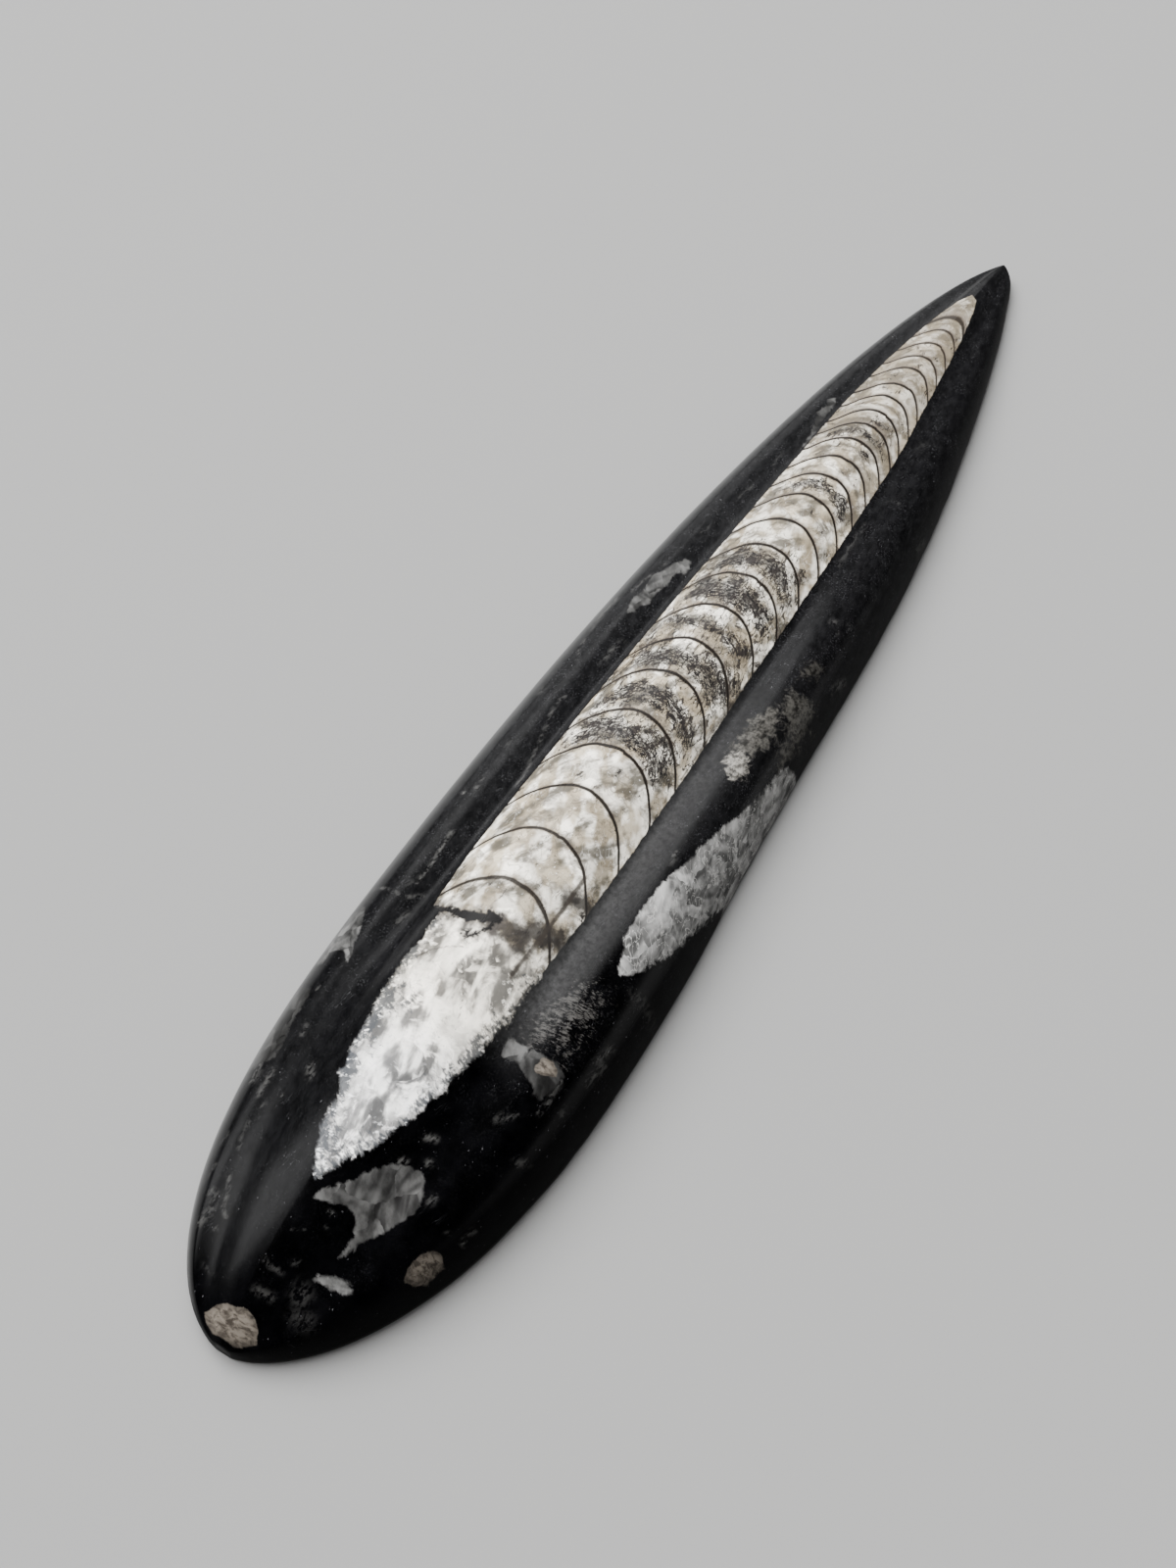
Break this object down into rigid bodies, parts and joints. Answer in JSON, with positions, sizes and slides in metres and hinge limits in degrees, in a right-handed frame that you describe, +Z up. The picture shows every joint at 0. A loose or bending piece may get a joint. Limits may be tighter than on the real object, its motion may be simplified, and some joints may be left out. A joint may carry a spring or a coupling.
{
  "type": "orthoceras fossil",
  "caption": "Polished boat-shaped black limestone with a chambered orthocone shell in white calcite along its raised ridge, flat sawn underside.",
  "frame": {"origin": "centre of the bounding box's bottom face, on the flat sawn base", "axes": "+X along the stone from its blunt end to its pointed end, +Y across it, +Z up out of the polished face"},
  "size_m": [0.23, 0.0462, 0.0185],
  "materials": {
    "fossil_limestone": "polished"
  },
  "bodies": {
    "root": {"orthoceras_stone": "fossil_limestone"}
  },
  "joints": []
}
